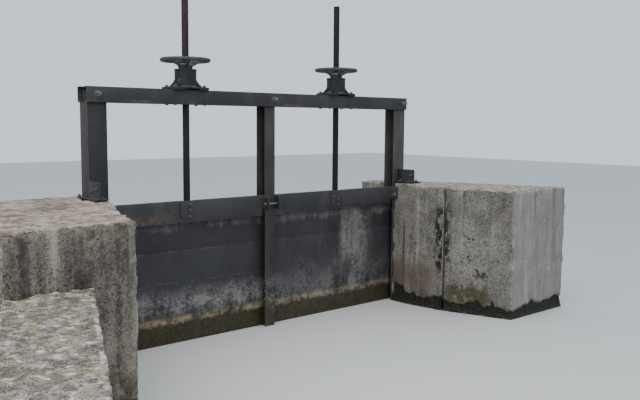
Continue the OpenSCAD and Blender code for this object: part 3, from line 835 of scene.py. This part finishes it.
def nearness(points, edges, reach):
    """How near each point lies to the closest edge: 1 on it, 0 from the reach on."""
    best = np.full(len(points), 1e9)
    for a, b in edges:
        along = b - a
        share = np.clip((points - a) @ along / (along @ along), 0, 1)
        best = np.minimum(best, np.linalg.norm(points - (a + share[:, None] * along), axis=1))
    return np.clip(1 - best / reach, 0, 1)


# Concrete walls


def ledge_height(points):
    """Height to which the water has cut the walls back, uneven along them."""
    along = GATE_Y - points[:, 1] + 0.6 * (points[:, 0] - GATE_X)
    bend = 2.4 * np.sin(along * 5.3) + 1.7 * np.sin(along * 13.1 + 2)
    waves = ((0.024, 9, 1), (0.011, 31, 2), (0.006, 83, 1))
    wobble = sum(height * np.sin(along * pace + share * bend) for height, pace, share in waves)
    common, extra, reach = 0.115, 0.11, 0.35
    beside_post = np.clip(1 - (GATE_Y - points[:, 1]) / reach, 0, 1)
    return common + extra * beside_post + wobble


def cut_by_water(points, normals, share):
    """How far the water has cut back each point: upright faces downstream, below the ledge."""
    soft, upstream_end = 0.025, GATE_Y - 0.09
    below = np.clip((ledge_height(points) - points[:, 2]) / soft + 0.5, 0, 1) * share
    upright = np.clip(1.5 - 3 * np.abs(normals[:, 2]), 0, 1)
    return below * (upright * (points[:, 1] < upstream_end))


def stepped_group(piece, name, weights):
    """A vertex group with the weights rounded to tenths."""
    group = piece.vertex_groups.new(name=name)
    for step in range(1, 11):
        rows = np.nonzero(np.rint(weights * 10) == step)[0]
        group.add(rows.tolist(), step / 10, "REPLACE")


def worn_in(piece, texture, depth, group):
    """Presses the texture into the points of the group, to the depth."""
    modify(
        piece, "DISPLACE", texture=texture, strength=depth, vertex_group=group,
        mid_level=1.0, texture_coords="LOCAL",
    )


def chip_texture():
    """Clouds cut off hard, so that they leave chips with whole edge between them."""
    chips = cloud_texture("chips", 0.11, 3)
    chips.use_color_ramp = True
    whole, chipped = chips.color_ramp.elements
    whole.position, whole.color = 0.38, (0, 0, 0, 1)
    chipped.position, chipped.color = 0.62, (1, 1, 1, 1)
    return chips


def weathered_wall(node, finish, top_relief, cut_back):
    """The wall's solid as worn concrete: chipped arrises, uneven faces, a ledge over the water."""
    look = bpy.context.scene.gate_concrete
    piece = copy_of_node(node, node + "_weathered")
    edges = sharp_edges(piece)
    reshaped(piece, look.grain * (1))
    points, normals = read_points(piece, "co"), read_points(piece, "normal")
    near = nearness(points, edges, look.arris)
    below = cut_by_water(points, normals, cut_back)
    foot, rise = 0.01, 0.03
    held = np.clip((points[:, 2] - foot) / rise, 0, 1)
    stepped_group(piece, "faces", held * (1 - 0.6 * near))
    stepped_group(piece, "arris", held * near)
    stepped_group(piece, "tops", held * np.clip(normals[:, 2] * 2 - 1, 0, 1) * (1 - 0.5 * near))
    stepped_group(piece, "ledge", held * below)
    modify(piece, "SMOOTH", factor=0.5, iterations=2)
    worn_in(piece, cloud_texture("swell", 0.55, 2), 0.006, "faces")
    worn_in(piece, cloud_texture("knobs", 0.05, 3), 0.005, "faces")
    worn_in(piece, cloud_texture("lumps", 0.035, 4), top_relief, "tops")
    worn_in(piece, chip_texture(), look.chip, "arris")
    modify(piece, "DISPLACE", strength=-look.ledge, mid_level=0.0, vertex_group="ledge")
    piece.vertex_groups.clear()
    keep_as(piece, "wear", near)
    keep_as(piece, "ledge", below)
    smooth_all_over(piece)
    return dress(piece, finish, "frame", "concrete", node)


class GATE_OT_concrete(bpy.types.Operator):
    """Build the weathered abutments and wing walls"""

    bl_idname = "gate.concrete"
    bl_label = "Concrete Walls"

    def execute(self, context):
        weathered_wall("left_abutment", "left_concrete", top_relief=0.006, cut_back=0.5)
        weathered_wall("left_wing_wall", "left_wing_concrete", top_relief=0.014, cut_back=0.5)
        weathered_wall("right_abutment", "right_concrete", top_relief=0.005, cut_back=1.0)
        weathered_wall("right_wing_wall", "right_concrete", top_relief=0.005, cut_back=1.0)
        return {"FINISHED"}


# Steel frame and leaves

# Radius of the edges of thin plates, and of brackets and lugs
THIN_EDGE, SOFT_EDGE = 0.001, 0.002


def rolled(node, finish, slot, body="frame", edge=None):
    """A steel piece with its solid's shape and softly rounded edges."""
    piece = copy_of_node(node, node + "_steel")
    rounded(piece, edge or bpy.context.scene.gate_steel.edge, 30)
    smooth(piece)
    return dress(piece, finish, body, slot, node)


class GATE_OT_frame(bpy.types.Operator):
    """Build the posts, beams, cross beams and brackets"""

    bl_idname = "gate.frame"
    bl_label = "Steel Frame"

    def execute(self, context):
        rolled("left_post", "left_post_paint", "brown_steel")
        rolled("middle_post", "middle_post_paint", "frame_steel")
        rolled("right_post", "right_post_paint", "frame_steel")
        for node in ("front_beam_left", "front_beam_right", "rear_beam"):
            rolled(node, "beam_paint", "frame_steel")
        rolled("beam_cleats", "fitting_paint", "fitting_steel")
        for side in SIDES:
            rolled("cross_beam_" + side, "cross_beam_paint", "frame_steel", edge=THIN_EDGE)
        for side in SIDES:
            rolled(side + "_stem_guide", "fitting_paint", "fitting_steel", edge=THIN_EDGE)
        rolled("cross_beam_tie", "worn_zinc", "fitting_steel", edge=THIN_EDGE)
        for side in SIDES:
            rolled(side + "_foot_bracket", "bracket_rust", "rusty_steel", edge=SOFT_EDGE)
        return {"FINISHED"}


class GATE_OT_leaves(bpy.types.Operator):
    """Build the two leaves with their stiffeners and lifting lugs"""

    bl_idname = "gate.leaves"
    bl_label = "Leaves"

    def execute(self, context):
        for side in SIDES:
            leaf = side + "_leaf"
            for part in ("_lower_plate", "_upper_plate"):
                rolled(side + part, leaf + "_face", "leaf_steel", leaf, THIN_EDGE)
            rolled(side + "_stiffeners", "leaf_back_paint", "leaf_steel", leaf, THIN_EDGE)
            rolled(side + "_lifting_lug", "leaf_back_paint", "leaf_steel", leaf, SOFT_EDGE)
        return {"FINISHED"}


# Screw lifts


def casting(node, iron, body, grain, knobs):
    """A casting: its solid with the corners run together and a sandy skin."""
    piece = copy_of_node(node, node + "_casting")
    edges = sharp_edges(piece, 60)
    reshaped(piece, grain * (1))
    modify(piece, "SMOOTH", factor=0.5, iterations=4)
    sand = cloud_texture("sand", 0.02, 2)
    modify(piece, "DISPLACE", texture=sand, strength=knobs, mid_level=0.9, texture_coords="LOCAL")
    # Nearness to the ridges, where the iron's finish paints worn paint and a painted highlight
    ridge_reach = 0.005
    keep_as(piece, "ridge", nearness(read_points(piece, "co"), edges, ridge_reach))
    smooth_all_over(piece)
    return dress(piece, iron, body, iron, node)


def thread(name, core, crest, rise, turns, steps):
    """One pitch of the thread, drawn as a line from the core out to the crest, run up by turns."""
    line = [(core, 0.0), (core, 0.3), (crest, 0.42), (crest, 0.88), (core, 1.0)]
    deselect()
    bpy.ops.mesh.primitive_plane_add(size=0.001, location=(0, 0, 0))
    piece = name_piece(name)
    open_mesh(piece)
    bpy.ops.mesh.select_all(action="SELECT")
    bpy.ops.mesh.merge(type="CENTER")
    bpy.ops.transform.translate(value=(core, 0, 0))
    for (r0, t0), (r1, t1) in zip(line, line[1:]):
        bpy.ops.mesh.extrude_region_move(TRANSFORM_OT_translate={"value": (r1 - r0, 0, (t1 - t0) * rise)})
    close_mesh()
    modify(
        piece, "SCREW", axis="Z", angle=math.tau, screw_offset=rise, iterations=turns, steps=steps,
        render_steps=steps, use_merge_vertices=True, merge_threshold=1e-5, use_smooth_shade=False,
    )
    edit(piece, merge_doubles, lambda: bpy.ops.mesh.normals_make_consistent(inside=False))
    return piece


def threaded_spindle(side, finish, slot):
    """The spindle as a screw: a core with the thread wound on it."""
    look = bpy.context.scene.gate_lift
    low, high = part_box(side + "_spindle")
    centre, length = (low + high) / 2, high.z - low.z
    crest = (high.x - low.x) / 2
    core = crest - look.depth
    turns = int(length / look.pitch) - 1
    steps = look.steps // 1
    overlap, end_round = 0.0002, 0.003
    piece = thread(side + "_screw", core, crest, length / (turns + 1), turns, steps)
    piece.location = (centre.x, centre.y, low.z)
    settle(piece)
    deselect()
    bpy.ops.mesh.primitive_cylinder_add(vertices=steps, radius=core + overlap, depth=length, location=centre)
    core_bar = bpy.context.object
    settle(core_bar)
    rounded(core_bar, end_round, 60)
    piece = join([piece, core_bar], side + "_screw")
    smooth(piece, 40)
    return dress(piece, finish, side + "_leaf", slot, side + "_spindle")


class GATE_OT_lift(bpy.types.Operator):
    """Build the pedestals, handwheels and screw spindles"""

    bl_idname = "gate.lift"
    bl_label = "Screw Lifts"

    def execute(self, context):
        grain = context.scene.gate_lift.grain
        for side in SIDES:
            casting(side + "_pedestal", "pedestal_iron", "frame", grain, knobs=0.0012)
            casting(side + "_handwheel", "wheel_iron", side + "_wheel", grain * 0.8, knobs=0.0006)
        threaded_spindle("left", "rusty_screw_steel", "rusty_screw")
        threaded_spindle("right", "dark_screw_steel", "dark_screw")
        return {"FINISHED"}


# Fastenings


def turned_bar(sides, radius, low, high, lip):
    """An upright bar from low to high with a lip drawn in round its upper end."""
    deselect()
    bpy.ops.mesh.primitive_cylinder_add(
        vertices=sides, radius=radius, depth=high - low - lip, location=(0, 0, (low + high - lip) / 2)
    )
    bar = bpy.context.object
    settle(bar)
    for face in bar.data.polygons:
        face.select = face.normal.z > 0.9
    open_mesh(bar)
    bpy.ops.mesh.select_mode(type="FACE")
    bpy.ops.mesh.inset(thickness=lip)
    bpy.ops.transform.translate(value=(0, 0, lip))
    close_mesh()
    return bar


def hex_fastener(across, thick, shank, stud, washer=0.0):
    """A hexagon nut, on a washer if it has one, with the bolt's end standing out of it along +Z."""
    parts = [turned_bar(6, across / math.sqrt(3), washer, washer + thick, across * 0.05)]
    if washer:
        parts.append(turned_bar(24, across * 0.62, 0.0, washer, washer * 0.2))
    if stud:
        parts.append(turned_bar(16, shank / 2, washer, washer + thick + stud, shank * 0.08))
    return join(parts, "fastener")


def fasteners(name, places, finish="dull_zinc", slot="fitting_steel", **sizes):
    """Copies of one fastener at the places, each a (point, direction, turn), joined into one piece."""
    pattern = hex_fastener(**sizes)
    copies = []
    for point, direction, turn in places:
        twin = pattern.copy()
        twin.data = pattern.data.copy()
        bpy.context.collection.objects.link(twin)
        lean = Vector(direction).normalized().to_track_quat("Z", "Y").to_matrix().to_4x4()
        twin.matrix_world = Matrix.Translation(Vector(point)) @ lean @ Matrix.Rotation(turn, 4, "Z")
        settle(twin)
        copies.append(twin)
    bpy.data.objects.remove(pattern)
    return dress(join(copies, name), finish, "frame", slot)


def beam_bolts():
    """Nuts on both faces of the beam, over each post."""
    places = [((GATE_X + x, BEAM_LOW.y, BOLT_Z), FRONT, x) for x in BOLT_XS]
    places += [((GATE_X + x, REAR_HIGH.y, BOLT_Z), BACK, x) for x in BOLT_XS]
    sizes = dict(across=0.04, thick=0.02, shank=0.024, stud=0.026, washer=0.004)
    fasteners("beam_bolts", places, "worn_zinc", **sizes)


def pedestal_bolts():
    """Nuts on the pedestals' four pads and the bolts' heads under the beam."""
    spread_x, spread_y, pad_top = 0.14, 0.0695, 0.024
    nuts, heads = [], []
    for side in SIDES:
        low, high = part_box(side + "_pedestal")
        middle = (low + high) / 2
        for dx in (-spread_x, spread_x):
            for dy in (-spread_y, spread_y):
                nuts.append(((middle.x + dx, middle.y + dy, low.z + pad_top), UP, dx * 3))
                heads.append(((middle.x + dx, middle.y + dy, BEAM_LOW.z), DOWN, dy * 5))
    fasteners("pedestal_nuts", nuts, across=0.027, thick=0.014, shank=0.018, stud=0.003)
    fasteners("pedestal_bolt_heads", heads, across=0.024, thick=0.009, shank=0.018, stud=0.0)


def guide_bolts():
    """Three bolts in each stem guide, by their distance from its middle and their height."""
    bolts = {
        "left_stem_guide": ((0.034, 1.188), (0.034, 1.143), (0.03, 1.084)),
        "right_stem_guide": ((-0.034, 1.162), (0.026, 1.135), (0.028, 1.077)),
    }
    places = []
    for node, spots in bolts.items():
        low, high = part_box(node)
        places += [(((low.x + high.x) / 2 + dx, low.y, z), FRONT, dx * 9) for dx, z in spots]
    fasteners("guide_bolts", places, across=0.024, thick=0.01, shank=0.014, stud=0.006)


def anchor_bolts():
    """The bolts through the cross beam's end plates, seen on their inner sides."""
    plate, in_front, below_top = 0.01, 0.03, 0.082
    left_low, left_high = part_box("cross_beam_left")
    right_low, right_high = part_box("cross_beam_right")
    places = [
        ((left_low.x + plate, left_low.y + in_front, left_high.z - below_top), (1, 0, 0), 0.2),
        ((right_high.x - plate, right_low.y + in_front, right_high.z - below_top), (-1, 0, 0), 0.2),
    ]
    fasteners("anchor_bolts", places, "worn_zinc", across=0.036, thick=0.018, shank=0.022, stud=0.014)


def bracket_bolts():
    """Bolts through the brackets' base plates and upright ribs, each by its place on the bracket."""
    plate, inward = 0.012, (-1, 0, 0)
    low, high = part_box("left_foot_bracket")
    z = low.z + plate
    places = [((low.x + 0.064, low.y + dy, z), UP, turn) for dy, turn in ((0.045, 0.1), (0.14, 0.5))]
    places.append(((low.x + 0.0125, high.y - 0.022, z), UP, 0.3))
    left_rib, right_rib = GATE_X - 1.75, GATE_X + 1.659
    places += [((left_rib, GATE_Y + y, z), inward, y) for y, z in ((-0.215, 1.372), (-0.12, 1.345))]
    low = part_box("right_foot_bracket")[0]
    z = low.z + plate
    places += [((low.x + dx, low.y + dy, z), UP, dy) for dx in (0.034, 0.136) for dy in (0.045, 0.175)]
    places.append(((right_rib, GATE_Y - 0.262, 1.345), inward, 0.2))
    sizes = dict(across=0.022, thick=0.012, shank=0.014, stud=0.008)
    fasteners("bracket_bolts", places, slot="rusty_steel", **sizes)


class GATE_OT_fastenings(bpy.types.Operator):
    """Set the bolts and nuts of the beams, pedestals, cross beam and brackets"""

    bl_idname = "gate.fastenings"
    bl_label = "Bolts and Nuts"

    def execute(self, context):
        beam_bolts()
        pedestal_bolts()
        guide_bolts()
        anchor_bolts()
        bracket_bolts()
        return {"FINISHED"}


# Stage

FLOOR_SIZE, FLOOR_DROP = 60.0, 0.002
SKY = (0.88, 0.99, 1.12, 1)
WARM = (1.0, 0.96, 0.9)
LAMP_AIM = (0, -0.3, 1.0)
# The camera's place from mid-span and its turns in radians, and the picture's lens and width in pixels
CAMERA_PLACE = (-4.1344, -5.5353, 1.8839)
YAW, PITCH, ROLL = 0.71129, -0.10287, 0.00794
LENS_PIXELS, WIDTH_PIXELS, SENSOR = 750.0, 640.0, 36.0


def lay_floor():
    """A plain pale floor just under the gate."""
    deselect()
    bpy.ops.mesh.primitive_plane_add(size=FLOOR_SIZE, location=(0, 0, -FLOOR_DROP))
    floor = name_piece("floor")
    settle(floor)
    s = Shader("studio_floor")
    s.colour = s.mix(s.noise(0.6, 3), (0.56, 0.56, 0.55), (0.6, 0.6, 0.59))
    floor.data.materials.append(s.finish(0.85))


def light_sky():
    """Even daylight from all round."""
    world = bpy.data.worlds.new("studio")
    world.use_nodes = True
    sky = world.node_tree.nodes["Background"].inputs
    sky["Color"].default_value, sky["Strength"].default_value = SKY, 1.0
    bpy.context.scene.world = world


def hang_lamp(name, place, size, power):
    """A round soft lamp that looks at the gate."""
    light = bpy.data.lights.new(name, "AREA")
    light.shape, light.size, light.energy, light.color = "DISK", size, power, WARM
    lamp = bpy.data.objects.new(name, light)
    bpy.context.collection.objects.link(lamp)
    lamp.location = gate_point(*place)
    aim = gate_point(*LAMP_AIM) - lamp.location
    lamp.rotation_euler = aim.to_track_quat("-Z", "Y").to_euler()


def set_camera():
    """The camera where the photograph was taken, with its lens."""
    ahead = Vector((math.sin(YAW) * math.cos(PITCH), math.cos(YAW) * math.cos(PITCH), math.sin(PITCH)))
    level = Vector((math.cos(YAW), -math.sin(YAW), 0.0))
    above = level.cross(ahead)
    right = math.cos(ROLL) * level + math.sin(ROLL) * above
    top = math.cos(ROLL) * above - math.sin(ROLL) * level
    turn = Matrix((right, top, -ahead)).transposed().to_4x4()
    optics = bpy.data.cameras.new("camera")
    optics.sensor_width = SENSOR
    optics.lens = LENS_PIXELS / WIDTH_PIXELS * SENSOR
    optics.clip_end = 200.0
    camera = bpy.data.objects.new("camera", optics)
    bpy.context.collection.objects.link(camera)
    camera.matrix_world = Matrix.Translation(gate_point(*CAMERA_PLACE)) @ turn
    bpy.context.scene.camera = camera


class GATE_OT_stage(bpy.types.Operator):
    """Lay the floor, light the gate softly and set the camera"""

    bl_idname = "gate.stage"
    bl_label = "Stage"

    def execute(self, context):
        lay_floor()
        light_sky()
        hang_lamp("sky_panel", (-2.0, -3.0, 7.5), size=9.0, power=380.0)
        hang_lamp("left_panel", (-7.5, -3.0, 4.0), size=5.0, power=150.0)
        set_camera()
        return {"FINISHED"}


class GATE_PT_panel(bpy.types.Panel):
    """The gate's sizes, colours and building steps"""

    bl_idname = "GATE_PT_panel"
    bl_label = "Sluice Gate"
    bl_space_type = "VIEW_3D"
    bl_region_type = "UI"
    bl_category = "Sluice Gate"

    def draw(self, context):
        for group in GROUPS:
            settings = getattr(context.scene, group)
            box = self.layout.box()
            for key in settings.__annotations__:
                box.prop(settings, key)
        for operator in OPERATORS:
            self.layout.operator(operator.bl_idname)


OPERATORS = (GATE_OT_stage, GATE_OT_concrete, GATE_OT_frame, GATE_OT_leaves, GATE_OT_lift, GATE_OT_fastenings)
GROUPS = {"gate_concrete": ConcreteSettings, "gate_steel": SteelSettings, "gate_lift": LiftSettings}
CLASSES = (*GROUPS.values(), *OPERATORS, GATE_PT_panel)


def register():
    for kind in CLASSES:
        bpy.utils.register_class(kind)
    for name, group in GROUPS.items():
        setattr(bpy.types.Scene, name, PointerProperty(type=group))


def unregister():
    for name in GROUPS:
        delattr(bpy.types.Scene, name)
    for kind in reversed(CLASSES):
        bpy.utils.unregister_class(kind)


def main():
    register()
    for operator in OPERATORS:
        group, name = operator.bl_idname.split(".")
        getattr(getattr(bpy.ops, group), name)()


if __name__ == "__main__":
    main()
